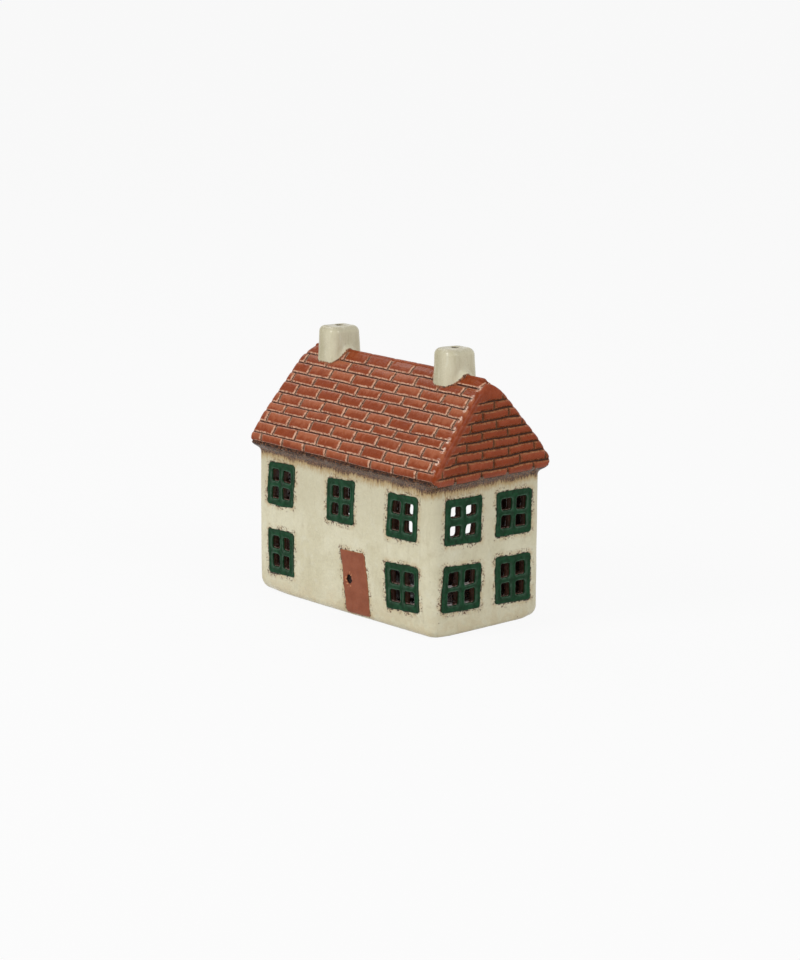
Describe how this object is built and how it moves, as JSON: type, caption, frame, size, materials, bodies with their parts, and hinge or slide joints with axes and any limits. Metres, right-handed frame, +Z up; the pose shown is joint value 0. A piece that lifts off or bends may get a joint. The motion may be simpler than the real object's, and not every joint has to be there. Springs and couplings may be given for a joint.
{
  "type": "house tea light holder",
  "caption": "Slab-built glazed stoneware cottage with brick-pattern roof, chimneys and pierced windows, open at the rear, holding a tea light.",
  "frame": {"origin": "centre of the overall box at its bottom, on the table under the house", "axes": "+X along the ridge to the right end as the door is seen, +Y from the door side to the open rear, +Z up"},
  "size_m": [0.1434, 0.081, 0.1406],
  "materials": {
    "cream_glaze": "glossy cream glaze with rust specks, brown where it breaks over edges",
    "brick_glaze": "glossy red-brown glaze, pale where it breaks over the bricks' edges",
    "terracotta_glaze": "satin red-brown glaze",
    "green_glaze": "glossy dark green glaze with a blue-green rim",
    "chimney_glaze": "glossy cream glaze with pinholes",
    "cup_foil": "pressed foil",
    "candle_wax": "waxy white",
    "sustainer_tin": "tinned steel",
    "wick_cotton": "braided cotton"
  },
  "bodies": {
    "house": {"base_slab": "cream_glaze", "front_wall": "cream_glaze", "right_end_wall": "cream_glaze", "rear_wall": "cream_glaze", "left_end_wall": "cream_glaze", "front_door": "terracotta_glaze", "front_window_upper_left": "green_glaze", "front_window_upper_middle": "green_glaze", "front_window_upper_right": "green_glaze", "front_window_lower_left": "green_glaze", "front_window_lower_right": "green_glaze", "right_window_upper_front": "green_glaze", "right_window_upper_rear": "green_glaze", "right_window_lower_front": "green_glaze", "right_window_lower_rear": "green_glaze", "left_window_upper_front": "green_glaze", "left_window_upper_rear": "green_glaze", "left_window_lower_front": "green_glaze", "left_window_lower_rear": "green_glaze", "rear_window_right": "green_glaze", "rear_window_left": "green_glaze", "front_roof_slope": "brick_glaze", "rear_roof_slope": "brick_glaze", "right_gable": "brick_glaze", "left_gable": "brick_glaze", "left_chimney": "chimney_glaze", "right_chimney": "chimney_glaze"},
    "tea_light": {"tealight_cup": "cup_foil", "tealight_wax": "candle_wax", "wick_sustainer": "sustainer_tin", "tealight_wick": "wick_cotton"}
  },
  "joints": [
    {"name": "tea_light_slide", "type": "slide", "parent": "house", "child": "tea_light", "axis": [0, 0, 1], "range_m": [0, 0.03]}
  ]
}
